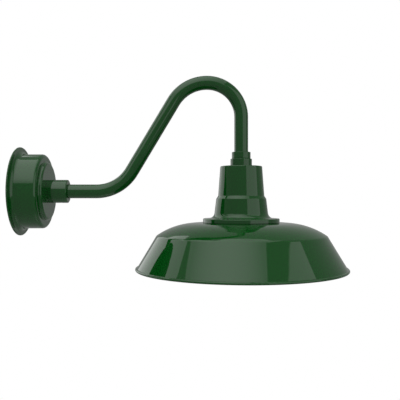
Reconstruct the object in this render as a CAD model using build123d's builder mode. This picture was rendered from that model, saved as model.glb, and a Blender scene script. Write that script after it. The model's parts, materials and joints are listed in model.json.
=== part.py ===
from build123d import *
from math import cos, radians, sin, tan
import os

os.makedirs("parts", exist_ok=True)

# A gooseneck wall light: a cast wall canopy, a bent pipe arm, a cast neck and a spun shade.
# +X comes straight out of the wall along the root of the arm, +Z is up, and the origin is the
# point where the arm's root axis meets the wall. All sizes are in millimetres.

# ---- Fits ----
same_body_gap = 0.05  # radial gap round screws, threads and spigots that don't move
swivel_gap = 0.05  # radial running clearance of the pipe in the hub and in the neck
moving_gap = 0.3  # end gap between pieces that turn against each other

# ---- Edges and small screws ----
cast_edge_r = 0.8  # plain rounding of a casting's or a turned piece's edge
small_screw_r = 2.0
small_head_r = 3.6
small_head_height = 2.4
head_rounding = 0.4  # of a pan head's height
hex_socket_share = 0.5  # of a headless screw's radius
hex_socket_depth = 0.4  # of a headless screw's length

# ---- Wall side ----
gasket_thickness = 2.0
gasket_outer_r = 84.0
gasket_inner_r = 67.9
bracket_thickness = 2.5
bracket_width = 22.0
bracket_half_height = 66.4
bracket_ear_x = 30.0
bracket_bend_r = 4.0
bracket_ear_fillet = 5.0
wire_hole_r = 5.2
box_slot_spacing = 79.375  # slot centres, so that screws 2.75 in to 3.5 in apart fit
box_slot_length = 14.3
box_slot_width = 4.8
ground_screw_z = -22.0
ground_terminal_r = 4.0
ground_terminal_thickness = 1.6
ground_run_y = 26.0
ground_nut_x = 14.0
ground_lead_bend_r = 9.0
ground_lead_gap = 0.2  # between the lead and the bracket, and into the terminal's edge

# ---- Canopy ----
canopy_flange_r = 84.8
canopy_flange_thickness = 3.0
canopy_flange_fillet = 8.0
canopy_flange_edge_r = 1.4
canopy_drum_r = 71.2
canopy_wall = 3.5
canopy_face_x = 51.4
canopy_face_fillet = 6.1
canopy_face_wall = 4.0
canopy_step_r = 55.6
canopy_step_x = 57.9
canopy_step_fillet = 3.9
canopy_step_root = 2.4
canopy_step_wall = 5.0
canopy_screw_x = 20.0
canopy_screw_r = 2.5
canopy_screw_head_r = 4.9
canopy_screw_hole_depth = 10.0
canopy_screw_recess = 0.3  # of the head below the drum, and all round it
canopy_screw_reach = 6.0  # past the outer face of an ear
countersink_angle = 82.0

# ---- Hub that carries the arm ----
hub_r = 22.2
hub_end_x = 94.3
hub_spigot_r = 17.0
hub_spigot_end_x = 46.9
hub_nut_flats = 50.0
hub_nut_thickness = 5.0
hub_set_screw_x = 80.0
hub_set_screw_r = 3.0
hub_set_screw_recess = 0.6
hub_edge_r = 1.8
hub_mouth_chamfer = 0.6

# ---- Arm: 3/4 in pipe, bent three times in one plane ----
pipe_r = 13.35
pipe_wall = 2.9
arm_root_x = 40.6
lower_bend_x = 148.3
lower_bend_r = 79.4
rise_angle = 59.1
rise_length = 156.2
upper_bend_r = 75.5
drop_bend_r = 66.0
arm_end_z = 38.0
lock_nut_r = 19.5
lock_nut_thickness = 4.0
lock_nut_lugs = 6
lock_nut_lug_size = (4.0, 6.0)

# ---- Neck ----
neck_boss_r = 20.7
neck_boss_top_z = 62.6
neck_top_z = 48.4
neck_top_r = 40.2
neck_upper_foot = (44.4, -8.6)
neck_step_edge = (48.1, -14.2)
neck_lower_foot = (52.6, -51.0)
neck_flange_r = 73.5
neck_flange_top_z = -52.2
neck_flange_fillet = 11.0
neck_wall = 4.2
neck_boss_edge_r = 1.0
neck_shoulder_r = 1.8
neck_step_root = 2.5
neck_step_r = 1.6
neck_flange_edge_r = 1.6
neck_inside_r = 3.0
neck_inner_step = 2.0  # the inner corners' offset from the outer ones, beside the wall
neck_screw_hole_depth = 6.0
gasket_recess = 1.0
gasket_band = (52.0, 69.0)
gasket_gap = 0.2
lug_start = 29.0  # the two cast lugs for the lampholder's bracket
lug_reach = 42.0
lug_width = 12.0
lug_height = 12.0
lug_hole_depth = 10.0
lock_ring_r = 18.0
lock_ring_height = 12.7
neck_set_screw_z = 55.5
neck_set_screw_r = 2.5
neck_set_screw_recess = 0.4

# ---- Shade: one spun sheet with a rolled rim ----
shade_top_z = -60.2
shade_sheet = 1.2
shade_hole_r = 47.0
shade_flat_r = 74.0
dome_arc_r = 260.0
dome_arc_angle = 5.5
dome_edge_r = 135.1
dome_edge_angle = 28.5
shoulder_r = 8.0
skirt_angle = 59.0
rim_outer_r = 203.2  # a 16 in shade
rim_bead_r = 2.6
shade_screw_circle_r = 61.0
shade_screw_r = 2.5
shade_screw_count = 4
shade_screw_first_angle = 45.0
shade_screw_head_r = 4.6
shade_screw_head_height = 2.8
shade_screw_reach = 5.0  # into the neck's flange
clamp_ring_inner_r = 50.0
clamp_ring_outer_r = 72.0
clamp_ring_thickness = 1.6

# ---- Lampholder and lamp: medium screw base, and a 60 mm globe ----
socket_bracket_top_z = -12.0
socket_bracket_thickness = 2.0
socket_bracket_half_length = 39.0
socket_bracket_width = 20.0
socket_bracket_corner_r = 6.0
bracket_screw_x = 34.0
bracket_screw_reach = 8.0
socket_body_r = 23.0
socket_body_height = 12.0
socket_shoulder_height = 5.0
socket_body_edge_r = 1.5
socket_mouth_edge_r = 2.0
socket_screw_hole_depth = 11.0
socket_screw_reach = 9.0
socket_skirt_r = 19.5
socket_mouth_z = -58.0
socket_cavity_top_z = -29.0
shell_inner_r = 13.3
shell_thickness = 0.45
shell_setback = 1.0  # of the shell inside the porcelain's mouth
contact_hole_r = 9.0
contact_base_r = 5.0
contact_base_thickness = 0.8
contact_pin_r = 2.6
contact_pin_edge_r = 0.6
contact_gap = 0.1
socket_screw_x = 12.0
terminal_y = 17.0
terminal_head_height = 2.6
bulb_tip_z = -31.0
bulb_cap_r = 13.0
bulb_cap_top_z = -37.0
bulb_cap_foot_z = -59.5
bulb_cap_sheet = 0.5
bulb_cap_taper = 3.0
insulator_r = 8.5
bulb_button_r = 4.6
bulb_button_height = 1.2
bulb_button_margin = 0.6
bulb_button_edge_r = 0.8
globe_r = 30.0
globe_bottom_z = -139.0
globe_turn_angle = 38.0
globe_glass = 0.8
globe_neck_r = 12.3
globe_neck_overlap = 9.0  # of the glass inside the cap

# ---- Wires ----
wire_r = 1.3
wire_side = 2.7  # half the distance between the two wires in the pipe
nut_side = 13.0  # half the distance between the two wire nuts in the canopy
wire_nut_x = 4.0
wire_nut_length = 18.0
wire_nut_mouth_r = 5.5
wire_nut_tip_r = 3.6
wire_nut_tip_fillet = 1.5
wire_nut_bore_r = 1.7
wire_nut_bore_depth = 12.6
wire_in_nut = 10.8  # how far a wire runs into its nut
wire_bend_r = 6.0
wire_run_out = 5.0  # straight length at a nut's mouth
wire_run_in = 6.0  # from where the wires come together to the pipe's root
wire_straight = 4.0  # inside the root of the pipe
wire_past_pipe = 5.0
lead_start = 7.0  # below the pipe's end
lead_straight = 12.0
lead_bend_r = 7.0

# ---- Worked out from the sizes above ----
pipe_hole_r = pipe_r + swivel_gap
shade_x = (
    lower_bend_x
    + lower_bend_r * sin(radians(rise_angle))
    + rise_length * cos(radians(rise_angle))
    + upper_bend_r * sin(radians(rise_angle))
    + drop_bend_r
)
shade_axis = Axis((shade_x, 0, 0), (0, 0, 1))
profile_plane = Plane(origin=(shade_x, 0, 0), x_dir=(1, 0, 0), z_dir=(0, -1, 0))
cross_plane = Plane(origin=(shade_x, 0, 0), x_dir=(0, 1, 0), z_dir=(1, 0, 0))


def level(z, x=shade_x):
    """A level plane at height z, centred on the shade's axis unless x says otherwise."""
    return Plane(origin=(x, 0, z))


def upright(x):
    """A plane square to the arm's root, with its own x along +Y and its own y along +Z."""
    return Plane(origin=(x, 0, 0), x_dir=(0, 1, 0), z_dir=(1, 0, 0))


def corner(sketch, x, y):
    """The corner of a sketch that is nearest to a point of its own plane."""
    return sketch.vertices().sort_by(lambda v: (v.X - x) ** 2 + (v.Y - y) ** 2)[0]


def arm_line(side, root_x, end_z):
    """The bent centreline of the arm, moved sideways by side."""
    with BuildLine(Plane.XZ.offset(-side)) as path:
        root = Line((root_x, 0), (lower_bend_x, 0))
        lower_bend = JernArc(root @ 1, root % 1, lower_bend_r, rise_angle)
        rise = Line(lower_bend @ 1, (lower_bend @ 1) + (lower_bend % 1) * rise_length)
        upper_bend = JernArc(rise @ 1, rise % 1, upper_bend_r, -rise_angle)
        drop_bend = JernArc(upper_bend @ 1, upper_bend % 1, drop_bend_r, -90)
        Line(drop_bend @ 1, (drop_bend @ 1) + Vector(0, 0, end_z - (drop_bend @ 1).Z))
    return path.line


def far_edges(solid, place):
    """The edges of the face that lies furthest out along a plane's normal."""
    return solid.faces().sort_by(lambda f: place.to_local_coords(f.center()).Z)[-1].edges()


def shade_screw_circle():
    """The places of the screws that hold the shade, round its axis."""
    return PolarLocations(
        shade_screw_circle_r, shade_screw_count, start_angle=shade_screw_first_angle
    )


def ring(place, outer_r, inner_r, thickness):
    """A flat ring that stands on a plane."""
    with BuildPart() as made:
        with BuildSketch(place):
            Circle(outer_r)
            Circle(inner_r, mode=Mode.SUBTRACT)
        extrude(amount=thickness)
    return made.part


def pan_screw(place, head_r, head_height, shank_r, shank_length):
    """A pan-head screw: the head stands on the plane and the shank goes down through it."""
    with BuildPart() as made:
        with BuildSketch(place):
            Circle(head_r)
        extrude(amount=head_height)
        fillet(far_edges(made, place), head_height * head_rounding)
        with BuildSketch(place):
            Circle(shank_r)
        extrude(amount=-shank_length)
    return made.part


def grub_screw(place, radius, length):
    """A headless socket screw with its open end on the plane and its body below it."""
    with BuildPart() as made:
        with BuildSketch(place):
            Circle(radius)
        extrude(amount=-length)
        with BuildSketch(place):
            RegularPolygon(radius * hex_socket_share, 6)
        extrude(amount=-length * hex_socket_depth, mode=Mode.SUBTRACT)
    return made.part


def wire_nut(place):
    """A twist-on connector: a tapered cap with its mouth on the plane."""
    with BuildPart() as made:
        with BuildSketch(place):
            Circle(wire_nut_mouth_r)
        with BuildSketch(place.offset(wire_nut_length)):
            Circle(wire_nut_tip_r)
        loft()
        fillet(far_edges(made, place), wire_nut_tip_fillet)
        with BuildSketch(place):
            Circle(wire_nut_bore_r)
        extrude(amount=wire_nut_bore_depth, mode=Mode.SUBTRACT)
    return made.part


def pipe_lock_nut(place):
    """A thin lock nut for the pipe's thread, with lugs round its edge, standing on a plane."""
    with BuildPart() as made:
        with BuildSketch(place):
            Circle(lock_nut_r)
            with PolarLocations(lock_nut_r, lock_nut_lugs):
                Rectangle(*lock_nut_lug_size)
            Circle(pipe_r + same_body_gap, mode=Mode.SUBTRACT)
        extrude(amount=lock_nut_thickness)
    return made.part


# ======== Wall side ========

with BuildPart() as wall_gasket:
    add(ring(upright(0), gasket_outer_r, gasket_inner_r, gasket_thickness))
wall_gasket.part.label = "wall_gasket"
export_step(wall_gasket.part, "parts/wall_gasket.step")

# The bracket is one strap with an ear bent out at each end, inside the canopy's drum.
with BuildPart() as mounting_bracket:
    with BuildSketch(Plane.XZ):
        with BuildLine():
            FilletPolyline(
                (bracket_ear_x, bracket_half_height),
                (0, bracket_half_height),
                (0, -bracket_half_height),
                (bracket_ear_x, -bracket_half_height),
                radius=bracket_bend_r,
            )
            offset(amount=bracket_thickness, side=Side.LEFT)
        make_face()
    extrude(amount=bracket_width / 2, both=True)
    ear_ends = mounting_bracket.edges().filter_by(Axis.Z).group_by(Axis.X)[-1]
    fillet(ear_ends, bracket_ear_fillet)
    with BuildSketch(upright(0)):
        Circle(wire_hole_r)
        with Locations((0, ground_screw_z)):
            Circle(small_screw_r + same_body_gap)
        with Locations((0, box_slot_spacing / 2), (0, -box_slot_spacing / 2)):
            SlotOverall(box_slot_length, box_slot_width, rotation=90)
    extrude(amount=bracket_thickness, mode=Mode.SUBTRACT)
    with BuildSketch(level(-bracket_half_height, canopy_screw_x)):
        Circle(canopy_screw_r + same_body_gap)
    extrude(amount=2 * bracket_half_height, mode=Mode.SUBTRACT)
mounting_bracket.part.label = "mounting_bracket"
export_step(mounting_bracket.part, "parts/mounting_bracket.step")

with BuildPart() as canopy:
    inner_r = canopy_drum_r - canopy_wall
    flange_face_x = gasket_thickness + canopy_flange_thickness
    inner_face_x = canopy_face_x - canopy_face_wall
    pocket_x = canopy_step_x - canopy_step_wall
    pocket_r = canopy_step_r - canopy_step_wall
    with BuildSketch(Plane.XZ) as canopy_profile:
        with BuildLine():
            Polyline(
                (gasket_thickness, inner_r),
                (gasket_thickness, canopy_flange_r),
                (flange_face_x, canopy_flange_r),
                (flange_face_x, canopy_drum_r),
                (canopy_face_x, canopy_drum_r),
                (canopy_face_x, canopy_step_r),
                (canopy_step_x, canopy_step_r),
                (canopy_step_x, hub_spigot_r + same_body_gap),
                (pocket_x, hub_spigot_r + same_body_gap),
                (pocket_x, pocket_r),
                (inner_face_x, pocket_r),
                (inner_face_x, inner_r),
                close=True,
            )
        make_face()
        fillet(corner(canopy_profile, gasket_thickness, canopy_flange_r), cast_edge_r)
        fillet(corner(canopy_profile, flange_face_x, canopy_flange_r), canopy_flange_edge_r)
        fillet(corner(canopy_profile, flange_face_x, canopy_drum_r), canopy_flange_fillet)
        fillet(corner(canopy_profile, canopy_face_x, canopy_drum_r), canopy_face_fillet)
        fillet(corner(canopy_profile, canopy_face_x, canopy_step_r), canopy_step_root)
        fillet(corner(canopy_profile, canopy_step_x, canopy_step_r), canopy_step_fillet)
        fillet(corner(canopy_profile, inner_face_x, inner_r), canopy_wall)
    revolve(axis=Axis.X)
    for side in (1, -1):
        with Locations(Plane(origin=(canopy_screw_x, 0, side * canopy_drum_r), z_dir=(0, 0, side))):
            CounterSinkHole(
                canopy_screw_r + same_body_gap,
                canopy_screw_head_r + same_body_gap,
                depth=canopy_screw_hole_depth,
                counter_sink_angle=countersink_angle,
            )
canopy.part.label = "canopy"
export_step(canopy.part, "parts/canopy.step")


def flush_screw(side):
    """A countersunk screw whose head lies in the drum and whose shank goes into an ear."""
    head_z = canopy_drum_r - canopy_screw_recess
    head_top_r = canopy_screw_head_r - canopy_screw_recess
    tip_z = bracket_half_height - canopy_screw_reach
    cone_height = (head_top_r - canopy_screw_r) / tan(radians(countersink_angle / 2))
    with BuildPart() as made:
        with BuildSketch(Plane.XZ):
            with BuildLine():
                Polyline(
                    (0, head_z),
                    (head_top_r, head_z),
                    (canopy_screw_r, head_z - cone_height),
                    (canopy_screw_r, tip_z),
                    (0, tip_z),
                    close=True,
                )
            make_face()
        revolve(axis=Axis.Z)
    turned = made.part if side > 0 else made.part.rotate(Axis.X, 180)
    return turned.translate((canopy_screw_x, 0, 0))


with BuildPart() as canopy_screws:
    add(flush_screw(1))
    add(flush_screw(-1))
canopy_screws.part.label = "canopy_screws"
export_step(canopy_screws.part, "parts/canopy_screws.step")

# The ground lead starts at a ring terminal under the ground screw's head.
with BuildPart() as ground_lead:
    terminal_plane = Plane(
        origin=(bracket_thickness, 0, ground_screw_z), x_dir=(0, 1, 0), z_dir=(1, 0, 0)
    )
    lead_x = bracket_thickness + wire_r + ground_lead_gap
    with BuildSketch(terminal_plane):
        Circle(ground_terminal_r)
        Circle(small_screw_r + same_body_gap, mode=Mode.SUBTRACT)
    extrude(amount=ground_terminal_thickness)
    with BuildLine(Plane.XY.offset(ground_screw_z)) as lead_path:
        FilletPolyline(
            (lead_x, ground_terminal_r - ground_lead_gap),
            (lead_x, ground_run_y),
            (ground_nut_x + wire_in_nut, ground_run_y),
            radius=ground_lead_bend_r,
        )
    with BuildSketch(Plane(origin=lead_path.line @ 0, z_dir=lead_path.line % 0)):
        Circle(wire_r)
    sweep(path=lead_path.line)
ground_lead.part.label = "ground_lead"
export_step(ground_lead.part, "parts/ground_lead.step")

with BuildPart() as ground_screw:
    add(
        pan_screw(
            terminal_plane.offset(ground_terminal_thickness),
            head_r=small_head_r,
            head_height=small_head_height,
            shank_r=small_screw_r,
            shank_length=ground_terminal_thickness + bracket_thickness,
        )
    )
ground_screw.part.label = "ground_screw"
export_step(ground_screw.part, "parts/ground_screw.step")

with BuildPart() as ground_wire_nut:
    add(wire_nut(Plane(origin=(ground_nut_x, ground_run_y, ground_screw_z), z_dir=(1, 0, 0))))
ground_wire_nut.part.label = "ground_wire_nut"
export_step(ground_wire_nut.part, "parts/ground_wire_nut.step")

# ======== Hub ========

with BuildPart() as arm_hub:
    with BuildSketch(Plane.XZ) as hub_profile:
        with BuildLine():
            Polyline(
                (hub_spigot_end_x, pipe_hole_r),
                (hub_spigot_end_x, hub_spigot_r),
                (canopy_step_x, hub_spigot_r),
                (canopy_step_x, hub_r),
                (hub_end_x, hub_r),
                (hub_end_x, pipe_hole_r),
                close=True,
            )
        make_face()
        fillet(corner(hub_profile, hub_end_x, hub_r), hub_edge_r)
        chamfer(corner(hub_profile, hub_end_x, pipe_hole_r), hub_mouth_chamfer)
        chamfer(corner(hub_profile, hub_spigot_end_x, hub_spigot_r), cast_edge_r)
    revolve(axis=Axis.X)
    hub_screw_plane = Plane(origin=(hub_set_screw_x, 0, -hub_r), z_dir=(0, 0, -1))
    with BuildSketch(hub_screw_plane):
        Circle(hub_set_screw_r + same_body_gap)
    extrude(amount=-(hub_r - pipe_r), mode=Mode.SUBTRACT)
arm_hub.part.label = "arm_hub"
export_step(arm_hub.part, "parts/arm_hub.step")

with BuildPart() as hub_set_screw:
    hub_screw_end = hub_screw_plane.offset(-hub_set_screw_recess)
    add(grub_screw(hub_screw_end, hub_set_screw_r, hub_r - pipe_hole_r - hub_set_screw_recess))
hub_set_screw.part.label = "hub_set_screw"
export_step(hub_set_screw.part, "parts/hub_set_screw.step")

with BuildPart() as hub_lock_nut:
    with BuildSketch(upright(pocket_x - hub_nut_thickness)):
        RegularPolygon(hub_nut_flats / 2, 6, major_radius=False)
        Circle(hub_spigot_r + same_body_gap, mode=Mode.SUBTRACT)
    extrude(amount=hub_nut_thickness)
hub_lock_nut.part.label = "hub_lock_nut"
export_step(hub_lock_nut.part, "parts/hub_lock_nut.step")

# ======== Arm ========

with BuildPart() as arm_tube:
    with BuildSketch(upright(arm_root_x)):
        Circle(pipe_r)
        Circle(pipe_r - pipe_wall, mode=Mode.SUBTRACT)
    sweep(path=arm_line(0, arm_root_x, arm_end_z))
arm_tube.part.label = "arm_tube"
export_step(arm_tube.part, "parts/arm_tube.step")

with BuildPart() as arm_lock_nut:
    add(pipe_lock_nut(upright(hub_spigot_end_x - moving_gap - lock_nut_thickness)))
arm_lock_nut.part.label = "arm_lock_nut"
export_step(arm_lock_nut.part, "parts/arm_lock_nut.step")

with BuildPart() as neck_lock_ring:
    add(ring(level(neck_boss_top_z + moving_gap), lock_ring_r, pipe_r + same_body_gap, lock_ring_height))
    outer_edges = neck_lock_ring.edges().filter_by(GeomType.CIRCLE).group_by(lambda e: e.radius)[-1]
    fillet(outer_edges, cast_edge_r)
neck_lock_ring.part.label = "neck_lock_ring"
export_step(neck_lock_ring.part, "parts/neck_lock_ring.step")

neck_ceiling_z = neck_top_z - neck_wall
with BuildPart() as neck_lock_nut:
    add(pipe_lock_nut(level(neck_ceiling_z - moving_gap - lock_nut_thickness)))
neck_lock_nut.part.label = "neck_lock_nut"
export_step(neck_lock_nut.part, "parts/neck_lock_nut.step")


def arm_wire(side):
    """One wire, from its nut in the canopy, through the arm, to just below the pipe's end."""
    straight_x = arm_root_x + wire_straight
    mouth_x = wire_nut_x + wire_nut_length
    with BuildLine() as path:
        FilletPolyline(
            (mouth_x - wire_in_nut, side * nut_side),
            (mouth_x + wire_run_out, side * nut_side),
            (arm_root_x - wire_run_in, side * wire_side),
            (straight_x, side * wire_side),
            radius=wire_bend_r,
        )
        add(arm_line(side * wire_side, straight_x, arm_end_z - wire_past_pipe))
    with BuildPart() as made:
        with BuildSketch(Plane(origin=path.line @ 0, z_dir=path.line % 0)):
            Circle(wire_r)
        sweep(path=path.line)
    return made.part


with BuildPart() as live_wire:
    add(arm_wire(1))
live_wire.part.label = "live_wire"
export_step(live_wire.part, "parts/live_wire.step")

with BuildPart() as neutral_wire:
    add(arm_wire(-1))
neutral_wire.part.label = "neutral_wire"
export_step(neutral_wire.part, "parts/neutral_wire.step")

with BuildPart() as wire_nuts:
    for side in (1, -1):
        mouth = (wire_nut_x + wire_nut_length, side * nut_side, 0)
        add(wire_nut(Plane(origin=mouth, z_dir=(-1, 0, 0))))
wire_nuts.part.label = "wire_nuts"
export_step(wire_nuts.part, "parts/wire_nuts.step")

# ======== Neck ========

with BuildPart() as neck_housing:
    with BuildSketch(profile_plane) as neck_profile:
        with BuildLine():
            Polyline(
                (pipe_hole_r, neck_ceiling_z),
                (pipe_hole_r, neck_boss_top_z),
                (neck_boss_r, neck_boss_top_z),
                (neck_boss_r, neck_top_z),
                (neck_top_r, neck_top_z),
                neck_upper_foot,
                neck_step_edge,
                neck_lower_foot,
                (neck_flange_r, neck_flange_top_z),
                (neck_flange_r, shade_top_z),
                (neck_lower_foot[0] - neck_wall - neck_inner_step, shade_top_z),
                (neck_step_edge[0] - neck_wall, neck_step_edge[1] - neck_inner_step),
                (neck_upper_foot[0] - neck_wall, neck_upper_foot[1] - neck_inner_step),
                (neck_top_r - neck_wall, neck_ceiling_z),
                close=True,
            )
        make_face()
        fillet(corner(neck_profile, neck_boss_r, neck_boss_top_z), neck_boss_edge_r)
        fillet(corner(neck_profile, neck_boss_r, neck_top_z), neck_boss_edge_r)
        fillet(corner(neck_profile, neck_top_r, neck_top_z), neck_shoulder_r)
        fillet(corner(neck_profile, *neck_upper_foot), neck_step_root)
        fillet(corner(neck_profile, *neck_step_edge), neck_step_r)
        fillet(corner(neck_profile, *neck_lower_foot), neck_flange_fillet)
        fillet(corner(neck_profile, neck_flange_r, neck_flange_top_z), neck_flange_edge_r)
        fillet(corner(neck_profile, neck_flange_r, shade_top_z), cast_edge_r)
        fillet(corner(neck_profile, neck_top_r - neck_wall, neck_ceiling_z), neck_inside_r)
    revolve(axis=shade_axis)
    with BuildSketch(level(socket_bracket_top_z)):
        with PolarLocations((lug_start + lug_reach) / 2, 2):
            Rectangle(lug_reach - lug_start, lug_width)
    extrude(amount=lug_height)
    with BuildSketch(level(socket_bracket_top_z)):
        with PolarLocations(bracket_screw_x, 2):
            Circle(small_screw_r + same_body_gap)
    extrude(amount=lug_hole_depth, mode=Mode.SUBTRACT)
    with BuildSketch(level(shade_top_z)):
        Circle(gasket_band[1])
        Circle(gasket_band[0], mode=Mode.SUBTRACT)
    extrude(amount=gasket_recess, mode=Mode.SUBTRACT)
    with BuildSketch(level(shade_top_z)):
        with shade_screw_circle():
            Circle(shade_screw_r + same_body_gap)
    extrude(amount=neck_screw_hole_depth, mode=Mode.SUBTRACT)
    neck_screw_plane = Plane(origin=(shade_x, neck_boss_r, neck_set_screw_z), z_dir=(0, 1, 0))
    with BuildSketch(neck_screw_plane):
        Circle(neck_set_screw_r + same_body_gap)
    extrude(amount=-(neck_boss_r - pipe_r), mode=Mode.SUBTRACT)
neck_housing.part.label = "neck_housing"
export_step(neck_housing.part, "parts/neck_housing.step")

with BuildPart() as neck_set_screw:
    neck_screw_end = neck_screw_plane.offset(-neck_set_screw_recess)
    neck_screw_length = neck_boss_r - pipe_hole_r - neck_set_screw_recess
    add(grub_screw(neck_screw_end, neck_set_screw_r, neck_screw_length))
neck_set_screw.part.label = "neck_set_screw"
export_step(neck_set_screw.part, "parts/neck_set_screw.step")

with BuildPart() as neck_gasket:
    with BuildSketch(level(shade_top_z)):
        Circle(gasket_band[1] - gasket_gap)
        Circle(gasket_band[0] + gasket_gap, mode=Mode.SUBTRACT)
        with shade_screw_circle():
            Circle(shade_screw_r + same_body_gap, mode=Mode.SUBTRACT)
    extrude(amount=gasket_recess)
neck_gasket.part.label = "neck_gasket"
export_step(neck_gasket.part, "parts/neck_gasket.step")

# ======== Shade ========

# The outer line runs flat under the neck, over the dome in two arcs, round the shoulder and down
# the straight skirt. The sheet is offset inwards from it, and the rim is rolled into a bead.
with BuildPart() as shade:
    with BuildSketch(profile_plane):
        with BuildLine():
            seat = Line((shade_hole_r, shade_top_z), (shade_flat_r, shade_top_z))
            dome = JernArc(seat @ 1, seat % 1, dome_arc_r, -dome_arc_angle)
            dome_edge = JernArc(dome @ 1, dome % 1, dome_edge_r, -dome_edge_angle)
            shoulder_turn = skirt_angle - dome_arc_angle - dome_edge_angle
            shoulder = JernArc(dome_edge @ 1, dome_edge % 1, shoulder_r, -shoulder_turn)
            skirt_length = (rim_outer_r - rim_bead_r - (shoulder @ 1).X) / cos(radians(skirt_angle))
            skirt = Line(shoulder @ 1, (shoulder @ 1) + (shoulder % 1) * skirt_length)
            offset(amount=shade_sheet, side=Side.RIGHT)
        make_face()
        bead_centre = (skirt @ 1).X, (skirt @ 1).Y - shade_sheet / 2
        with Locations(bead_centre):
            Circle(rim_bead_r)
    revolve(axis=shade_axis)
    with BuildSketch(level(shade_top_z - shade_sheet)):
        with shade_screw_circle():
            Circle(shade_screw_r + same_body_gap)
    extrude(amount=shade_sheet, mode=Mode.SUBTRACT)
shade.part.label = "shade"
export_step(shade.part, "parts/shade.step")

clamp_top_z = shade_top_z - shade_sheet
clamp_bottom_z = clamp_top_z - clamp_ring_thickness
with BuildPart() as shade_clamp_ring:
    with BuildSketch(level(clamp_bottom_z)):
        Circle(clamp_ring_outer_r)
        Circle(clamp_ring_inner_r, mode=Mode.SUBTRACT)
        with shade_screw_circle():
            Circle(shade_screw_r + same_body_gap, mode=Mode.SUBTRACT)
    extrude(amount=clamp_ring_thickness)
shade_clamp_ring.part.label = "shade_clamp_ring"
export_step(shade_clamp_ring.part, "parts/shade_clamp_ring.step")

with BuildPart() as shade_screws:
    screw_plane = Plane(origin=(shade_x, 0, clamp_bottom_z), z_dir=(0, 0, -1))
    with Locations(screw_plane):
        with shade_screw_circle():
            add(
                pan_screw(
                    Plane.XY,
                    head_r=shade_screw_head_r,
                    head_height=shade_screw_head_height,
                    shank_r=shade_screw_r,
                    shank_length=clamp_ring_thickness + shade_sheet + shade_screw_reach,
                )
            )
shade_screws.part.label = "shade_screws"
export_step(shade_screws.part, "parts/shade_screws.step")

# ======== Lampholder ========

strap_bottom_z = socket_bracket_top_z - socket_bracket_thickness
with BuildPart() as socket_bracket:
    with BuildSketch(level(strap_bottom_z)):
        RectangleRounded(2 * socket_bracket_half_length, socket_bracket_width, socket_bracket_corner_r)
        with PolarLocations(bracket_screw_x, 2):
            Circle(small_screw_r + same_body_gap, mode=Mode.SUBTRACT)
        with PolarLocations(socket_screw_x, 2):
            Circle(small_screw_r + same_body_gap, mode=Mode.SUBTRACT)
    extrude(amount=socket_bracket_thickness)
socket_bracket.part.label = "socket_bracket"
export_step(socket_bracket.part, "parts/socket_bracket.step")

with BuildPart() as bracket_screws:
    for side in (1, -1):
        place = Plane(origin=(shade_x + side * bracket_screw_x, 0, strap_bottom_z), z_dir=(0, 0, -1))
        reach = socket_bracket_thickness + bracket_screw_reach
        add(pan_screw(place, small_head_r, small_head_height, small_screw_r, reach))
bracket_screws.part.label = "bracket_screws"
export_step(bracket_screws.part, "parts/bracket_screws.step")

shell_outer_r = shell_inner_r + shell_thickness
socket_drum_foot_z = strap_bottom_z - socket_body_height
with BuildPart() as socket_body:
    with BuildSketch(profile_plane) as body_profile:
        with BuildLine():
            Polyline(
                (0, strap_bottom_z),
                (socket_body_r, strap_bottom_z),
                (socket_body_r, socket_drum_foot_z),
                (socket_skirt_r, socket_drum_foot_z - socket_shoulder_height),
                (socket_skirt_r, socket_mouth_z),
                (shell_outer_r + same_body_gap, socket_mouth_z),
                (shell_outer_r + same_body_gap, socket_cavity_top_z),
                (0, socket_cavity_top_z),
                close=True,
            )
        make_face()
        fillet(corner(body_profile, socket_body_r, strap_bottom_z), socket_body_edge_r)
        fillet(corner(body_profile, socket_body_r, socket_drum_foot_z), socket_body_edge_r)
        fillet(corner(body_profile, socket_skirt_r, socket_mouth_z), socket_mouth_edge_r)
    revolve(axis=shade_axis)
    with BuildSketch(level(strap_bottom_z)):
        with PolarLocations(socket_screw_x, 2):
            Circle(small_screw_r + same_body_gap)
        with PolarLocations(terminal_y, 2, start_angle=90):
            Circle(small_screw_r + same_body_gap)
    extrude(amount=-socket_screw_hole_depth, mode=Mode.SUBTRACT)
socket_body.part.label = "socket_body"
export_step(socket_body.part, "parts/socket_body.step")

with BuildPart() as socket_screws:
    for side in (1, -1):
        place = level(socket_bracket_top_z, shade_x + side * socket_screw_x)
        reach = socket_bracket_thickness + socket_screw_reach
        add(pan_screw(place, small_head_r, small_head_height, small_screw_r, reach))
socket_screws.part.label = "socket_screws"
export_step(socket_screws.part, "parts/socket_screws.step")

with BuildPart() as terminal_screws:
    for side in (1, -1):
        place = Plane(origin=(shade_x, side * terminal_y, strap_bottom_z))
        add(pan_screw(place, small_head_r, terminal_head_height, small_screw_r, socket_screw_reach))
terminal_screws.part.label = "terminal_screws"
export_step(terminal_screws.part, "parts/terminal_screws.step")

with BuildPart() as socket_shell:
    with BuildSketch(profile_plane):
        with BuildLine():
            Polyline(
                (shell_outer_r, socket_mouth_z + shell_setback),
                (shell_outer_r, socket_cavity_top_z),
                (contact_hole_r, socket_cavity_top_z),
                (contact_hole_r, socket_cavity_top_z - shell_thickness),
                (shell_inner_r, socket_cavity_top_z - shell_thickness),
                (shell_inner_r, socket_mouth_z + shell_setback),
                close=True,
            )
        make_face()
    revolve(axis=shade_axis)
socket_shell.part.label = "socket_shell"
export_step(socket_shell.part, "parts/socket_shell.step")

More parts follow.
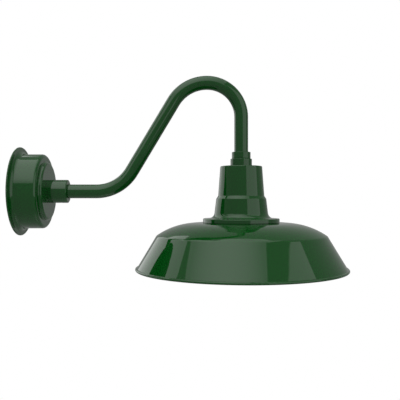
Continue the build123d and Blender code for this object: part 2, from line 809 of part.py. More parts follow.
contact_foot_z = socket_cavity_top_z - contact_base_thickness
contact_tip_z = bulb_tip_z + contact_gap
with BuildPart() as socket_contact:
    with BuildSketch(profile_plane) as contact_profile:
        with BuildLine():
            Polyline(
                (0, socket_cavity_top_z),
                (contact_base_r, socket_cavity_top_z),
                (contact_base_r, contact_foot_z),
                (contact_pin_r, contact_foot_z),
                (contact_pin_r, contact_tip_z),
                (0, contact_tip_z),
                close=True,
            )
        make_face()
        fillet(corner(contact_profile, contact_pin_r, contact_tip_z), contact_pin_edge_r)
    revolve(axis=shade_axis)
socket_contact.part.label = "socket_contact"
export_step(socket_contact.part, "parts/socket_contact.step")


def socket_lead(side):
    """One lead in the neck, from just below the pipe's wires to a terminal screw's head."""
    top_z = arm_end_z - lead_start
    terminal_z = strap_bottom_z + terminal_head_height
    with BuildLine(cross_plane) as path:
        FilletPolyline(
            (side * wire_side, top_z),
            (side * wire_side, top_z - lead_straight),
            (side * terminal_y, terminal_z + lead_straight),
            (side * terminal_y, terminal_z),
            radius=lead_bend_r,
        )
    with BuildPart() as made:
        with BuildSketch(Plane(origin=path.line @ 0, z_dir=path.line % 0)):
            Circle(wire_r)
        sweep(path=path.line)
    return made.part


with BuildPart() as socket_live_lead:
    add(socket_lead(1))
socket_live_lead.part.label = "socket_live_lead"
export_step(socket_live_lead.part, "parts/socket_live_lead.step")

with BuildPart() as socket_neutral_lead:
    add(socket_lead(-1))
socket_neutral_lead.part.label = "socket_neutral_lead"
export_step(socket_neutral_lead.part, "parts/socket_neutral_lead.step")

# ======== Lamp ========

with BuildPart() as bulb_globe:
    with BuildSketch(profile_plane):
        with BuildLine():
            ball = CenterArc((0, globe_bottom_z + globe_r), globe_r, -90, 90 + globe_turn_angle)
            throat_r = ((ball @ 1).X - globe_neck_r) / (1 - cos(radians(globe_turn_angle)))
            throat = JernArc(ball @ 1, ball % 1, throat_r, -globe_turn_angle)
            Line(throat @ 1, (globe_neck_r, bulb_cap_foot_z + globe_neck_overlap))
            offset(amount=globe_glass, side=Side.LEFT)
        make_face()
    revolve(axis=shade_axis)
bulb_globe.part.label = "bulb_globe"
export_step(bulb_globe.part, "parts/bulb_globe.step")

with BuildPart() as bulb_cap:
    with BuildSketch(profile_plane):
        with BuildLine():
            Polyline(
                (insulator_r, bulb_cap_top_z),
                (bulb_cap_r, bulb_cap_top_z - bulb_cap_taper),
                (bulb_cap_r, bulb_cap_foot_z),
            )
            offset(amount=bulb_cap_sheet, side=Side.RIGHT)
        make_face()
    revolve(axis=shade_axis)
bulb_cap.part.label = "bulb_cap"
export_step(bulb_cap.part, "parts/bulb_cap.step")

bulb_button_foot_z = bulb_tip_z - bulb_button_height
with BuildPart() as bulb_insulator:
    with BuildSketch(profile_plane):
        with BuildLine():
            Polyline(
                (0, bulb_button_foot_z),
                (bulb_button_r + bulb_button_margin, bulb_button_foot_z),
                (insulator_r, bulb_cap_top_z),
                (0, bulb_cap_top_z),
                close=True,
            )
        make_face()
    revolve(axis=shade_axis)
bulb_insulator.part.label = "bulb_insulator"
export_step(bulb_insulator.part, "parts/bulb_insulator.step")

with BuildPart() as bulb_contact:
    with BuildSketch(level(bulb_button_foot_z)):
        Circle(bulb_button_r)
    extrude(amount=bulb_button_height)
    fillet(bulb_contact.faces().sort_by(Axis.Z)[-1].edges(), bulb_button_edge_r)
bulb_contact.part.label = "bulb_contact"
export_step(bulb_contact.part, "parts/bulb_contact.step")
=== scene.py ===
import json
from math import cos, pi, radians, sin

import bmesh
import bpy
from mathutils import Matrix, Vector


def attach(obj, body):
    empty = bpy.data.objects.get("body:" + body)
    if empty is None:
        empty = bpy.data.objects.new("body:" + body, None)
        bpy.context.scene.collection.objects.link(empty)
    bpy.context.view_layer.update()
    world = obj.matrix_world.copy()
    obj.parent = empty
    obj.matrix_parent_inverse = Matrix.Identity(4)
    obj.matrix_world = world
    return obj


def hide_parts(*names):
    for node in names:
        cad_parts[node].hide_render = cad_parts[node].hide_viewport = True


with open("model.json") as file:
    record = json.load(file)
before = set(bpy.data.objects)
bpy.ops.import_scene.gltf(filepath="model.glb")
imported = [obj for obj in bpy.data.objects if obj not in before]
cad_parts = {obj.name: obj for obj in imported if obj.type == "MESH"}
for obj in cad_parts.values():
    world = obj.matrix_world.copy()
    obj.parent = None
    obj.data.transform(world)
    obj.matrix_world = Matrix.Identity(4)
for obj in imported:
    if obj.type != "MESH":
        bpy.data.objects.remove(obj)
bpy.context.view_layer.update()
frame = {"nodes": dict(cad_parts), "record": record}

NODES = frame["nodes"]
SLOT_OF = {part["node"]: part["material_slot"] for part in frame["record"]["subparts"]}
SCENE = bpy.context.scene

# ---- Places in the frame, in metres ----
SHADE_X = 0.4274294  # the shade's axis
BEAD_R, BEAD_Z = 0.2006, -0.14806  # the middle of the rolled rim
BEAD_SIZE = 0.0026
GROUND_Z = -0.022  # the ground screw's height
OBJECT_CENTRE = (0.315, 0.0, 0.03)
CAMERA_PLACE = (0.348, -1.0716, -0.0166)
ROOM_RADIUS = 20.0
FLOOR_RADIUS, FLOOR_Z = 3.0, -1.45


def object_from(bm, name):
    """A linked object whose mesh is taken from a bmesh, which is then let go."""
    mesh = bpy.data.meshes.new(name)
    bm.to_mesh(mesh)
    bm.free()
    made = bpy.data.objects.new(name, mesh)
    SCENE.collection.objects.link(made)
    return made


# ======== Node graphs ========

class Graph:
    """A node tree that is written as nested calls. Every call gives back a socket."""

    def __init__(self, tree):
        self.tree = tree
        tree.nodes.clear()

    def put(self, socket, value):
        """Links a socket to an input, or writes a value into it."""
        if isinstance(value, bpy.types.NodeSocket):
            self.tree.links.new(value, socket)
        elif socket.type == "RGBA" and len(value) == 3:
            socket.default_value = (*value, 1.0)
        else:
            socket.default_value = value

    def node(self, kind, inputs=None, **settings):
        made = self.tree.nodes.new(kind)
        for name, value in settings.items():
            setattr(made, name, value)
        for name, value in (inputs or {}).items():
            self.put(made.inputs[name], value)
        return made

    def math(self, operation, a, b=0.0):
        return self.node("ShaderNodeMath", {0: a, 1: b}, operation=operation).outputs[0]

    def add(self, a, b):
        return self.math("ADD", a, b)

    def sub(self, a, b):
        return self.math("SUBTRACT", a, b)

    def mul(self, a, b):
        return self.math("MULTIPLY", a, b)

    def div(self, a, b):
        return self.math("DIVIDE", a, b)

    def least(self, a, b):
        return self.math("MINIMUM", a, b)

    def most(self, a, b):
        return self.math("MAXIMUM", a, b)

    def square(self, a):
        return self.math("POWER", a, 2.0)

    def length(self, a, b):
        """How far (a, b) lies from (0, 0)."""
        return self.math("SQRT", self.add(self.square(a), self.square(b)))

    def ramp(self, value, low, high, to_low=0.0, to_high=1.0, smooth=True):
        """A value carried over from one range to another and held at its ends."""
        inputs = {"Value": value, "From Min": low, "From Max": high, "To Min": to_low, "To Max": to_high}
        kind = "SMOOTHSTEP" if smooth else "LINEAR"
        return self.node("ShaderNodeMapRange", inputs, interpolation_type=kind).outputs[0]

    def band(self, value, low, high, soft):
        """1 between low and high, with edges that are twice soft wide."""
        rise = self.ramp(value, low - soft, low + soft)
        fall = self.ramp(value, high - soft, high + soft, 1.0, 0.0)
        return self.mul(rise, fall)

    def mix(self, share, a, b):
        """Colour a at share 0 and colour b at share 1."""
        return self.node("ShaderNodeMix", {0: share, 6: a, 7: b}, data_type="RGBA").outputs[2]

    def place(self):
        return self.node("ShaderNodeTexCoord").outputs["Object"]

    def split(self, vector):
        return self.node("ShaderNodeSeparateXYZ", {0: vector}).outputs

    def noise(self, scale, detail=3.0, rough=0.5, vector=None):
        values = {"Vector": vector or self.place(), "Scale": scale, "Detail": detail, "Roughness": rough}
        return self.node("ShaderNodeTexNoise", values).outputs["Fac"]

    def stretched(self, x, y, z):
        return self.node("ShaderNodeVectorMath", {0: self.place(), 1: (x, y, z)}, operation="MULTIPLY").outputs[0]

    def bump(self, height, depth):
        return self.node("ShaderNodeBump", {"Height": height, "Distance": depth, "Strength": 1.0}).outputs[0]


def material(name):
    """A new material and the graph of its nodes."""
    made = bpy.data.materials.new(name)
    made.use_nodes = True
    return made, Graph(made.node_tree)


def finish_shader(g, color, roughness, normal, **constants):
    """A Principled shader: varying colour, roughness and normal, and every other value on its own socket."""
    shader = g.node("ShaderNodeBsdfPrincipled", {"Base Color": color, "Roughness": roughness, "Normal": normal})
    for name, value in constants.items():
        g.put(shader.inputs[name.replace("_", " ")], value)
    g.node("ShaderNodeOutputMaterial", {"Surface": shader.outputs[0]})


# ======== Materials ========

PAINT = (0.0015, 0.0575, 0.0056)
PAINT_DEEP = (0.0012, 0.0527, 0.0049)
ENAMEL = (0.83, 0.83, 0.81)
ENAMEL_LIGHT = (0.86, 0.86, 0.845)
TIN = (0.70, 0.69, 0.65)


def paint_parts(g):
    """The gloss paint's colour, roughness and normal: a faint drift of tone and a very fine orange peel."""
    tone = g.noise(9.0, 2.0)
    color = g.mix(tone, PAINT_DEEP, PAINT)
    roughness = g.ramp(g.noise(55.0, 3.0), 0.3, 0.7, 0.028, 0.045)
    peel = g.add(g.noise(900.0, 1.0), g.mul(g.noise(60.0, 2.0), 1.6))
    return color, roughness, g.bump(peel, 0.0000020)


def green_gloss_paint():
    """The paint on the castings and the pipe."""
    made, g = material("green_gloss_paint")
    color, roughness, normal = paint_parts(g)
    finish_shader(g, color, roughness, normal, IOR=1.5)
    return made


def shade_paint():
    """Green outside and over the rolled rim, white enamel on the side that faces the lamp."""
    made, g = material("shade_paint")
    color, roughness, normal = paint_parts(g)
    x, y, z = g.split(g.place())
    from_axis = g.length(g.sub(x, SHADE_X), y)
    from_bead = g.length(g.sub(from_axis, BEAD_R), g.sub(z, BEAD_Z))
    on_bead = g.ramp(from_bead, BEAD_SIZE + 0.0002, BEAD_SIZE + 0.0005, 1.0, 0.0)
    world_normal = g.node("ShaderNodeNewGeometry").outputs["True Normal"]
    own_normal = g.node("ShaderNodeVectorTransform", {0: world_normal}, vector_type="NORMAL", convert_from="WORLD",
                        convert_to="OBJECT").outputs[0]  # so that the white side stays inside when the arm turns
    up = g.split(own_normal)[2]
    inside = g.mul(g.ramp(up, -0.1, 0.0, 1.0, 0.0), g.sub(1.0, on_bead))
    white = g.mix(g.noise(14.0, 2.0), ENAMEL, ENAMEL_LIGHT)
    finish_shader(g, g.mix(inside, color, white), g.add(roughness, g.mul(inside, 0.10)), normal, IOR=1.5)
    return made


def metal(name, color, dark, roughness, grain=(1.0, 1.0, 1.0)):
    """Bare or plated metal with a drawn grain, cloudy tone and uneven gloss."""
    made, g = material(name)
    lines = g.noise(420.0, 3.0, vector=g.stretched(*grain))
    cloud = g.noise(70.0, 4.0, 0.6)
    tone = g.mix(g.ramp(cloud, 0.3, 0.72), dark, color)
    rough = g.add(g.ramp(lines, 0.25, 0.75, roughness - 0.06, roughness + 0.06), g.mul(cloud, 0.06))
    finish_shader(g, tone, rough, g.bump(lines, 0.000004), Metallic=1.0)
    return made


def plastic(name, color, worn, roughness, scale=120.0, depth=0.000006, **constants):
    """Moulded plastic, rubber or wire covering: a fine grain over a slow change of tone."""
    made, g = material(name)
    tone = g.mix(g.noise(scale * 0.3, 2.0), worn, color)
    grain = g.noise(scale * 8.0, 2.0)
    rough = g.ramp(grain, 0.3, 0.7, roughness - 0.04, roughness + 0.05)
    finish_shader(g, tone, rough, g.bump(grain, depth), **constants)
    return made


def porcelain():
    """Off-white glaze with a few small pits."""
    made, g = material("porcelain")
    pits = g.ramp(g.noise(1400.0, 1.0), 0.72, 0.8)
    tone = g.mix(g.noise(60.0, 2.0), (0.80, 0.785, 0.74), (0.86, 0.85, 0.815))
    color = g.mix(g.mul(pits, 0.5), tone, (0.55, 0.52, 0.46))
    glaze = g.noise(240.0, 2.0)
    finish_shader(g, color, g.ramp(glaze, 0.3, 0.7, 0.07, 0.13), g.bump(glaze, 0.00002), IOR=1.52)
    return made


def frosted_glass():
    """The lamp's globe, unlit: white and soft, with a fine frost."""
    made, g = material("frosted_glass")
    cloud = g.noise(45.0, 3.0)
    color = g.mix(cloud, (0.88, 0.88, 0.85), (0.92, 0.92, 0.90))
    frost = g.noise(2600.0, 1.0)
    finish_shader(g, color, g.ramp(frost, 0.3, 0.7, 0.22, 0.32), g.bump(frost, 0.000006), IOR=1.5)
    return made


def green_wire():
    """Green covering, with a tinned ring terminal round the ground screw."""
    made, g = material("green_wire")
    x, y, z = g.split(g.place())
    from_screw = g.length(y, g.sub(z, GROUND_Z))
    tin = g.mul(g.ramp(from_screw, 0.0052, 0.0055, 1.0, 0.0), g.ramp(x, 0.0052, 0.0056, 1.0, 0.0))
    grain = g.noise(900.0, 2.0)
    cover = g.mix(g.noise(36.0, 2.0), (0.01, 0.15, 0.035), (0.015, 0.22, 0.05))
    rough = g.ramp(grain, 0.3, 0.7, 0.30, 0.42)
    finish_shader(g, g.mix(tin, cover, TIN), rough, g.bump(grain, 0.000006), Metallic=tin)
    return made


def solder():
    """A dull, lumpy drop of solder."""
    made, g = material("solder")
    lumps = g.noise(520.0, 3.0)
    color = g.mix(lumps, (0.42, 0.42, 0.41), (0.62, 0.62, 0.60))
    finish_shader(g, color, g.ramp(lumps, 0.3, 0.7, 0.28, 0.5), g.bump(lumps, 0.00008), Metallic=1.0)
    return made


MATERIALS = {
    "green_gloss_paint": green_gloss_paint(),
    "shade_paint": shade_paint(),
    "plated_steel": metal("plated_steel", (0.66, 0.66, 0.63), (0.50, 0.51, 0.50), 0.30, (1.0, 0.08, 1.0)),
    "black_steel": metal("black_steel", (0.035, 0.035, 0.036), (0.02, 0.02, 0.02), 0.38),
    "green_screw": metal("green_screw", (0.03, 0.24, 0.07), (0.015, 0.15, 0.045), 0.32),
    "brass": metal("brass", (0.80, 0.58, 0.26), (0.58, 0.39, 0.16), 0.27, (1.0, 1.0, 0.15)),
    "porcelain": porcelain(),
    "frosted_glass": frosted_glass(),
    "bulb_cap_metal": metal("bulb_cap_metal", (0.78, 0.78, 0.78), (0.62, 0.62, 0.62), 0.26, (1.0, 1.0, 0.1)),
    "black_glass": plastic("black_glass", (0.014, 0.014, 0.016), (0.02, 0.02, 0.022), 0.10, IOR=1.5),
    "solder": solder(),
    "gasket_rubber": plastic("gasket_rubber", (0.024, 0.024, 0.024), (0.05, 0.05, 0.048), 0.75, 300.0, 0.00006),
    "connector_plastic": plastic("connector_plastic", (0.80, 0.23, 0.03), (0.70, 0.17, 0.02), 0.28),
    "black_wire": plastic("black_wire", (0.014, 0.014, 0.014), (0.03, 0.03, 0.03), 0.36),
    "white_wire": plastic("white_wire", (0.80, 0.80, 0.77), (0.68, 0.67, 0.62), 0.36),
    "green_wire": green_wire(),
}


def dress(piece, name):
    """Gives a piece one material in place of all that it had."""
    piece.data.materials.clear()
    piece.data.materials.append(MATERIALS[name])


for node_name, node in NODES.items():
    dress(node, "shade_paint" if node_name == "shade" else SLOT_OF[node_name])


# ======== Pieces with more detail than their CAD nodes. Their sizes are in mm. ========

MM = 0.001
SHADE_AXIS = SHADE_X / MM
GROUND_HEIGHT = GROUND_Z / MM
SHADE_SCREW_CIRCLE, SHADE_SCREW_TOP = 61.0, -63.0  # the clamp ring's lower face
BRACKET_SCREW_OUT, BRACKET_SCREW_TOP = 34.0, -14.0  # the socket bracket's lower face
GROUND_SCREW_OUT = 4.1
CANOPY_SCREW_OUT, CANOPY_SCREW_RISE = 20.0, 70.9
WIRE_NUT_OUT, WIRE_NUT_ASIDE = 22.0, 13.0
GROUND_NUT_OUT, GROUND_NUT_ASIDE = 14.0, 26.0
BASE_PITCH = 3.63  # of a medium screw base

# The angle between two faces, in degrees, above which their edge stays sharp.
SHARP, SHARP_ON_RIBS, SHARP_ON_THREADS = 32.0, 50.0, 60.0

QUARTER = (0, 7, 14, 22, 30, 38, 45, 52, 60, 68, 76, 83)  # degrees; 14 and 76 are the corners of a cross recess
CROSS_TURN = [radians(90 * quarter + step) for quarter in range(4) for step in QUARTER]


def even_turn(count):
    """The angles of a full turn in equal steps."""
    return [2.0 * pi * step / count for step in range(count)]


def stand(x, y, z, way, turn=0.0):
    """A placement in mm, with its own Z axis along a direction."""
    square = Vector(way).to_track_quat("Z", "Y").to_matrix().to_4x4()
    return Matrix.Translation(Vector((x, y, z)) * MM) @ square @ Matrix.Rotation(radians(turn), 4, "Z")


def turned(bm, place, rows, turn, closed=False):
    """Turns rows of (radius, height) round a placement's Z axis. A radius can be a function of angle and height."""
    rings = []
    for radius, height in rows:
        if radius == 0:
            rings.append([bm.verts.new(place @ Vector((0.0, 0.0, height * MM)))])
            continue
        ring = []
        for angle in turn:
            r = radius(angle, height) if callable(radius) else radius
            ring.append(bm.verts.new(place @ (Vector((r * cos(angle), r * sin(angle), height)) * MM)))
        rings.append(ring)
    following = rings[1:] + (rings[:1] if closed else [])
    for one, two in zip(rings, following):
        for step in range(len(turn)):
            after = (step + 1) % len(turn)
            corners = (one[step % len(one)], one[after % len(one)], two[after % len(two)], two[step % len(two)])
            bm.faces.new(list(dict.fromkeys(corners)))


def instead_of(node, body, build, sharp=SHARP):
    """A piece in the place of a CAD node, from a function that fills a bmesh."""
    bm = bmesh.new()
    build(bm)
    bmesh.ops.recalc_face_normals(bm, faces=bm.faces)
    piece = object_from(bm, node + "_visual")
    piece.data.shade_smooth()
    piece.data.set_sharp_from_angle(angle=radians(sharp))
    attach(piece, body)
    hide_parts(node)
    dress(piece, SLOT_OF[node])


def fading(height, low, high, rise, fall):
    """0 at low and below, 1 from low + rise to high - fall, 0 at high and above."""
    return min(1.0, max(0.0, (height - low) / rise), max(0.0, (high - height) / fall))


def cross(size):
    """The outline of a cross recess whose arms are size long and half as wide."""
    def radius(angle, _):
        off = abs((angle + pi / 4) % (pi / 2) - pi / 4)
        return min(size / cos(off), size * 0.25 / max(sin(off), 1e-6))
    return radius


def recess(head_r, top, depth):
    """A cross recess that narrows toward its floor."""
    return [(cross(head_r * 0.56), top), (cross(head_r * 0.50), top - depth * 0.15),
            (cross(head_r * 0.26), top - depth * 0.85), (0, top - depth)]


def thread(outer, depth, pitch, low, high):
    """A rounded thread between two heights, fading out at both. A negative depth cuts it from the inside."""
    def radius(angle, height):
        fade = fading(height, low, high, pitch, pitch)
        return outer - depth * fade * (0.5 - 0.5 * cos(2.0 * pi * height / pitch - angle))
    return radius


def rows_between(radius, low, high, step):
    """Rows of one radius at even heights, about a step apart."""
    count = max(1, round(abs(high - low) / step))
    return [(radius, low + (high - low) * k / count) for k in range(count + 1)]


def pan_head(head_r, height, shank_r, length):
    """A pan head with a cross recess over a plain shank; the head stands on height 0."""
    return [(0, -length), (shank_r - 0.4, -length), (shank_r, -length + 0.4), (shank_r, 0), (head_r - 0.1, 0),
            (head_r, 0.1), (head_r, height * 0.45), (head_r * 0.975, height * 0.66), (head_r * 0.90, height * 0.85),
            (head_r * 0.78, height * 0.96), (head_r * 0.64, height)] + recess(head_r, height, height * 0.62)


def shade_screws(bm):
    """Four screws up through the clamp ring, each with its recess turned its own way."""
    for turn, angle in zip((12.0, 57.0, 33.0, 80.0), (45, 135, 225, 315)):
        x = SHADE_AXIS + SHADE_SCREW_CIRCLE * cos(radians(angle))
        y = SHADE_SCREW_CIRCLE * sin(radians(angle))
        turned(bm, stand(x, y, SHADE_SCREW_TOP, (0, 0, -1), turn), pan_head(4.6, 2.8, 2.5, 7.6), CROSS_TURN)


def bracket_screws(bm):
    """Two screws up through the socket bracket."""
    for turn, side in ((20.0, 1), (64.0, -1)):
        place = stand(SHADE_AXIS + side * BRACKET_SCREW_OUT, 0, BRACKET_SCREW_TOP, (0, 0, -1), turn)
        turned(bm, place, pan_head(3.6, 2.4, 2.0, 10.0), CROSS_TURN)


def ground_screw(bm):
    """One screw into the mounting bracket, with its head off the wall."""
    place = stand(GROUND_SCREW_OUT, 0, GROUND_HEIGHT, (1, 0, 0), 25.0)
    turned(bm, place, pan_head(3.6, 2.4, 2.0, 4.1), CROSS_TURN)


def canopy_screws(bm):
    """Countersunk screws, threaded all the way down from the head."""
    shank = thread(2.5, 0.42, 0.8, -10.4, -2.6)
    rows = [(0, -10.5), (1.9, -10.5)] + rows_between(shank, -10.2, -2.6, 0.13)
    rows += [(2.5, -2.416), (4.6, -0.1), (4.5, 0)] + recess(4.6, 0, 1.9)
    for turn, side in ((15.0, 1), (48.0, -1)):
        place = stand(CANOPY_SCREW_OUT, 0, side * CANOPY_SCREW_RISE, (0, 0, side), turn)
        turned(bm, place, rows, CROSS_TURN)


def wall_gasket(bm):
    """A foam ring, rounded at its edges, well inside the flange."""
    rows = [(68.0, 0.6), (68.2, 0.15), (68.6, 0), (77.0, 0), (77.5, 0.15), (77.8, 0.6), (77.8, 1.5), (77.5, 2.0),
            (68.3, 2.0), (68.0, 1.5)]
    turned(bm, stand(0, 0, 0, (1, 0, 0)), rows, even_turn(160), closed=True)


def nut_rows():
    """A twist-on wire connector: a hollow skirt at the mouth, ribs above it and a round tip."""
    def taper(height):
        return 5.48 - 1.9 * height / 18.0

    def ribbed(angle, height):
        fade = fading(height, 4.6, 16.6, 1.4, 1.6)
        return taper(height) - 0.12 - 0.55 * fade * (0.5 - 0.5 * cos(12.0 * angle))

    rows = [(0, 12.6), (1.7, 12.6), (1.7, 7.5), (3.8, 2.2), (4.35, 0.4), (4.55, 0), (5.1, 0), (5.4, 0.25),
            (taper(0.8), 0.8), (taper(3.9), 3.9), (taper(4.3) - 0.1, 4.3)]
    rows += rows_between(ribbed, 4.5, 16.5, 0.6)
    return rows + [(3.45, 17.0), (3.05, 17.55), (2.3, 17.9), (1.2, 18.0), (0, 18.0)]


def wire_nuts(bm):
    """The connectors on the live and the neutral wire, mouths toward the room."""
    for side in (1, -1):
        turned(bm, stand(WIRE_NUT_OUT, side * WIRE_NUT_ASIDE, 0, (-1, 0, 0)), nut_rows(), even_turn(96))


def ground_wire_nut(bm):
    """The connector on the ground lead, mouth toward the wall."""
    turned(bm, stand(GROUND_NUT_OUT, GROUND_NUT_ASIDE, GROUND_HEIGHT, (1, 0, 0)), nut_rows(), even_turn(96))


def bulb_cap(bm):
    """A rolled screw base: the thread outside, and a plain bore round the neck of the glass."""
    outside = thread(13.0, 0.62, BASE_PITCH, -56.5, -41.0)
    rows = [(8.1, -37.25), (8.5, -37.0), (12.7, -39.8), (12.95, -40.2), (13.0, -40.8)]
    rows += rows_between(outside, -41.0, -56.5, 0.28)
    rows += [(13.0, -57.0), (12.75, -57.5), (12.75, -58.3), (13.0, -58.8), (13.0, -59.35), (12.85, -59.5),
             (12.34, -59.5), (12.34, -41.0), (12.1, -40.4)]
    turned(bm, stand(SHADE_AXIS, 0, 0, (0, 0, 1)), rows, even_turn(96), closed=True)


def socket_shell(bm):
    """The lampholder's screw shell, with its thread rolled into the inner face."""
    inside = thread(13.34, -0.30, BASE_PITCH, -55.5, -30.5)
    rows = [(13.75, -57.0), (13.75, -29.0), (9.0, -29.0), (9.0, -29.45), (13.34, -29.45)]
    rows += rows_between(inside, -30.5, -55.5, 0.33) + [(13.34, -56.6), (13.5, -57.0)]
    turned(bm, stand(SHADE_AXIS, 0, 0, (0, 0, 1)), rows, even_turn(96), closed=True)


instead_of("shade_screws", "shade_head", shade_screws)
instead_of("bracket_screws", "shade_head", bracket_screws)
instead_of("socket_shell", "shade_head", socket_shell, SHARP_ON_THREADS)
instead_of("bulb_cap", "bulb", bulb_cap, SHARP_ON_THREADS)
instead_of("canopy_screws", "wall_side", canopy_screws, SHARP_ON_THREADS)
instead_of("ground_screw", "wall_side", ground_screw)
instead_of("ground_wire_nut", "wall_side", ground_wire_nut, SHARP_ON_RIBS)
instead_of("wall_gasket", "wall_side", wall_gasket)
instead_of("wire_nuts", "arm", wire_nuts, SHARP_ON_RIBS)


# ======== Studio ========

# The overhead softbox is laid out on a plane one unit above the object (u = x / z, v = y / z), and each upright one on
# a plane one unit away from it. Places and edges are in those units.
ROOM_LEVEL = 0.35
TOP_U, TOP_V, TOP_EDGE = (-1.13, 0.46), (-2.3, 0.43), 0.012
TOP_MIDDLE = (-0.33, -0.6)  # where it is brightest
TOP_LEVEL, TOP_LEAST = 1.95, 1.05
CORNER_U, CORNER_V, CORNER_EDGE = (-2.15, -0.9), (-2.0, -0.5), 0.05
CORNER_LEVEL = 1.42
SIDE_LEFT, SIDE_RIGHT, SIDE_EDGE = -0.40, 0.80, 0.01
SIDE_LEAN = 0.24  # of the right edge
SIDE_BOXES = (
    # 1 for +X and -Y or -1 for -X and +Y; level; foot; slope and height of the top edge
    (1.0, 1.15, -0.235, 0.2, 0.969),
    (-1.0, 1.25, -0.06, 0.1, 1.045),
)
FROM_BELOW = 0.8  # what a white floor would give back to the matt surfaces
FLOOR_FADE = (1.0, 2.2)  # the ring in which the floor fades out for the camera
POOL_RADIUS, POOL_SHARE = 0.85, 0.65  # what every other ray finds of the floor
FLOOR_LIFT = 0.11


def overhead_light(g, x, y, z):
    """The dim room with the overhead softbox, which falls off from its middle, and a bright corner beside it."""
    above = g.most(z, 0.001)
    u, v = g.div(x, above), g.div(y, above)
    slant = g.most(g.least(g.mul(g.add(v, 0.63), 0.35), 0.03), -0.03)
    top = g.mul(g.band(g.sub(u, slant), *TOP_U, TOP_EDGE), g.band(v, *TOP_V, TOP_EDGE))
    off_u, off_v = g.sub(u, TOP_MIDDLE[0]), g.sub(v, TOP_MIDDLE[1])
    across = g.square(g.div(off_u, 0.7))
    near = g.square(g.div(g.least(off_v, 0.0), 1.5))
    far = g.square(g.div(g.most(off_v, 0.0), 0.6))
    fall = g.add(g.mul(across, 0.85), g.add(g.mul(near, 0.65), g.mul(far, 0.2)))
    top_light = g.mul(top, g.sub(g.most(g.sub(TOP_LEVEL, fall), TOP_LEAST), ROOM_LEVEL))
    corner = g.mul(g.band(u, *CORNER_U, CORNER_EDGE), g.band(v, *CORNER_V, CORNER_EDGE))
    corner_light = g.ramp(corner, 0.0, 1.0, ROOM_LEVEL, CORNER_LEVEL, smooth=False)
    return g.most(g.add(ROOM_LEVEL, top_light), corner_light)


def side_light(g, x, y, z, side, level, foot, top_slope, top_height):
    """What one upright softbox adds to the room. Its right edge leans and its top edge slopes."""
    forward = g.most(g.mul(g.sub(x, y), side * cos(radians(45))), 0.001)
    sideways = g.mul(g.add(x, y), side * cos(radians(45)))
    across, height = g.div(sideways, forward), g.div(z, forward)
    lean = g.sub(across, g.mul(height, SIDE_LEAN))
    crown = g.sub(height, g.add(g.mul(across, top_slope), top_height))
    wide = g.mul(g.ramp(across, SIDE_LEFT - SIDE_EDGE, SIDE_LEFT + SIDE_EDGE),
                 g.ramp(lean, SIDE_RIGHT - SIDE_EDGE, SIDE_RIGHT + SIDE_EDGE, 1.0, 0.0))
    tall = g.mul(g.ramp(height, foot - SIDE_EDGE, foot + SIDE_EDGE),
                 g.ramp(crown, -SIDE_EDGE, SIDE_EDGE, 1.0, 0.0))
    return g.mul(g.mul(g.mul(wide, tall), level - ROOM_LEVEL), g.ramp(forward, 0.001, 0.01))


def room_light(g):
    """The brightness of the studio by direction."""
    way = g.node("ShaderNodeVectorMath", {0: g.place()}, operation="NORMALIZE").outputs[0]
    x, y, z = g.split(way)
    light = overhead_light(g, x, y, z)
    for box in SIDE_BOXES:
        light = g.add(light, side_light(g, x, y, z, *box))
    matt = g.node("ShaderNodeLightPath").outputs["Is Diffuse Ray"]
    return g.add(light, g.mul(matt, g.ramp(z, -0.85, -0.6, FROM_BELOW, 0.0)))


def studio_room():
    """A large ball round everything that lights the object and shows in its gloss, but not to the camera."""
    bm = bmesh.new()
    bmesh.ops.create_uvsphere(bm, u_segments=64, v_segments=32, radius=ROOM_RADIUS)
    bmesh.ops.reverse_faces(bm, faces=bm.faces)
    room = object_from(bm, "studio_room")
    room.location = OBJECT_CENTRE
    room.visible_camera = False
    room.visible_transmission = False
    room.visible_shadow = False
    made, g = material("studio_room")
    glow = g.node("ShaderNodeEmission", {"Strength": room_light(g)})
    g.node("ShaderNodeOutputMaterial", {"Surface": glow.outputs[0]})
    room.data.materials.append(made)


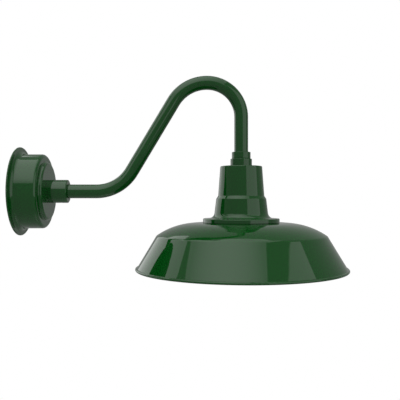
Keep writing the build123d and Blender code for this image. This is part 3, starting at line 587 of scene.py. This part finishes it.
def studio_floor():
    """A white floor that keeps the object's shadow and fades out into the white background."""
    bm = bmesh.new()
    bmesh.ops.create_circle(bm, cap_ends=True, segments=96, radius=FLOOR_RADIUS)
    floor = object_from(bm, "studio_floor")
    floor.location = (OBJECT_CENTRE[0], OBJECT_CENTRE[1], FLOOR_Z)
    made, g = material("studio_floor")
    x, y, _ = g.split(g.place())
    reach = g.length(x, y)
    pool = g.ramp(reach, 0.0, POOL_RADIUS, POOL_SHARE, 0.0)
    wide = g.ramp(reach, *FLOOR_FADE, 1.0, 0.0)
    eye = g.node("ShaderNodeLightPath").outputs["Is Camera Ray"]
    seen = g.mul(eye, wide)
    share = g.add(seen, g.mul(g.sub(1.0, eye), pool))
    chalk = g.node("ShaderNodeBsdfDiffuse", {"Color": (0.93, 0.93, 0.93)})
    clear = g.node("ShaderNodeBsdfTransparent")
    both = g.node("ShaderNodeMixShader", {0: share, 1: clear.outputs[0], 2: chalk.outputs[0]})
    lift = g.node("ShaderNodeEmission", {"Strength": g.mul(seen, FLOOR_LIFT)})
    lit = g.node("ShaderNodeAddShader", {0: both.outputs[0], 1: lift.outputs[0]})
    g.node("ShaderNodeOutputMaterial", {"Surface": lit.outputs[0]})
    floor.data.materials.append(made)


def white_world():
    """White wherever the camera, a mirror or glass looks past the studio."""
    world = bpy.data.worlds.new("studio")
    SCENE.world = world
    world.use_nodes = True
    g = Graph(world.node_tree)
    path = g.node("ShaderNodeLightPath").outputs
    seen = g.most(path["Is Camera Ray"], g.most(path["Is Glossy Ray"], path["Is Transmission Ray"]))
    strength = g.ramp(seen, 0.0, 1.0, ROOM_LEVEL, 1.0)
    back = g.node("ShaderNodeBackground", {"Color": (1.0, 1.0, 1.0), "Strength": strength})
    g.node("ShaderNodeOutputWorld", {"Surface": back.outputs[0]})


def camera():
    """A level camera in front of the object, looking along +Y."""
    data = bpy.data.cameras.new("camera")
    data.lens = 50.0
    data.sensor_width = 36.0
    data.clip_end = 100.0
    made = bpy.data.objects.new("camera", data)
    SCENE.collection.objects.link(made)
    made.location = CAMERA_PLACE
    made.rotation_euler = (radians(90.0), 0.0, 0.0)
    SCENE.camera = made


studio_room()
studio_floor()
white_world()
camera()
SCENE.view_settings.view_transform = "Standard"
